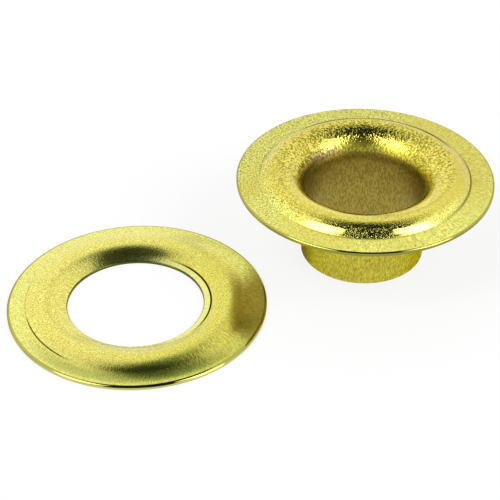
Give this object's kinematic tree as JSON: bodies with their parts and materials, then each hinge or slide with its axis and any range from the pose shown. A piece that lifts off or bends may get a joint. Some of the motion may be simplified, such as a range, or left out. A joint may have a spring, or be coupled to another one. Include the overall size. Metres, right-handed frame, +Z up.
{
  "type": "grommet eyelet",
  "caption": "Unset brass grommet: a flanged eyelet with a rolled crown and a short barrel, standing on its end, beside the domed washer that goes over the barrel.",
  "frame": {"origin": "on the eyelet's axis, at the cut end of its barrel, on the table that both halves stand on", "axes": "+Z up along the eyelet's bore, from the cut end towards the flange; +X from the washer's axis towards the eyelet's axis"},
  "size_m": [0.0394, 0.0202, 0.0076],
  "materials": {
    "eyelet_brass": "bright yellow brass, deep drawn, with a fine orange-peel grain",
    "washer_brass": "bright yellow brass, pressed, with a fine satin grain"
  },
  "bodies": {
    "root": {"eyelet": "eyelet_brass", "washer": "washer_brass"}
  },
  "joints": []
}
